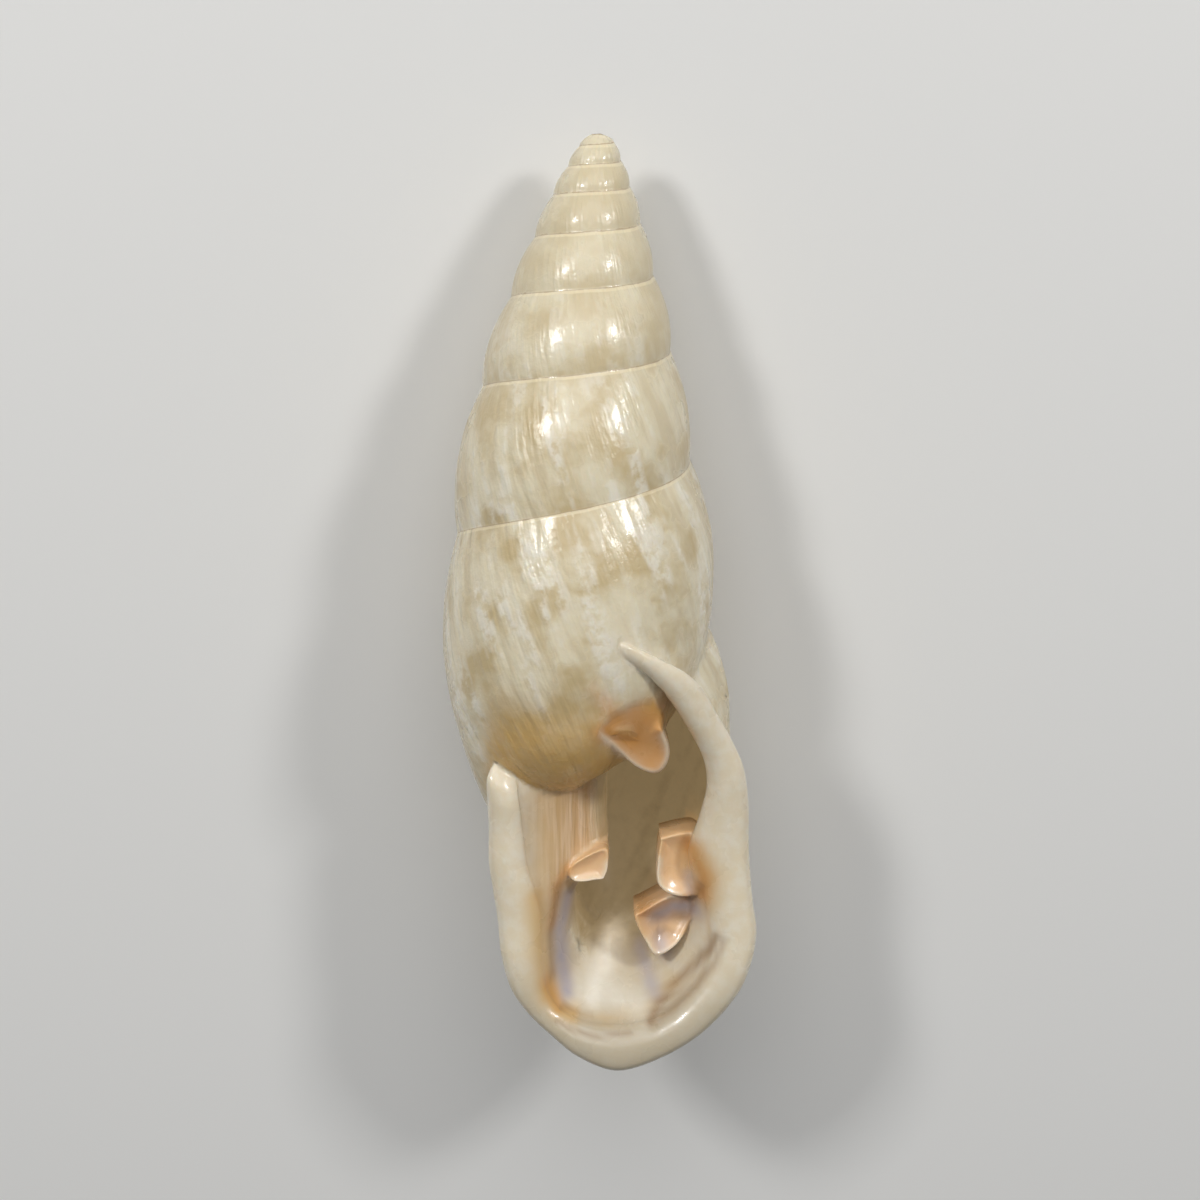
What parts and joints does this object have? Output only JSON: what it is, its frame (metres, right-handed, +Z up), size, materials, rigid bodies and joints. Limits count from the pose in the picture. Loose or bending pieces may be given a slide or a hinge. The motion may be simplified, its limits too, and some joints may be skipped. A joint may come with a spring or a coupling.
{
  "type": "land snail shell",
  "caption": "Tall right-handed land snail shell with a pointed spire, rolled pale lip and toothed oval mouth, lying on its back with the mouth up.",
  "frame": {"origin": "centre of the bounding box at the surface the shell lies on", "axes": "+Z up, out through the mouth; +Y towards the tip of the spire; +X to the right of the mouth as the viewer sees it"},
  "size_m": [0.0168, 0.0494, 0.0142],
  "materials": {
    "shell": "natural glossy cream shell, slightly translucent, with ochre and orange-brown stains in the mouth"
  },
  "bodies": {
    "root": {"shell": "shell"}
  },
  "joints": []
}
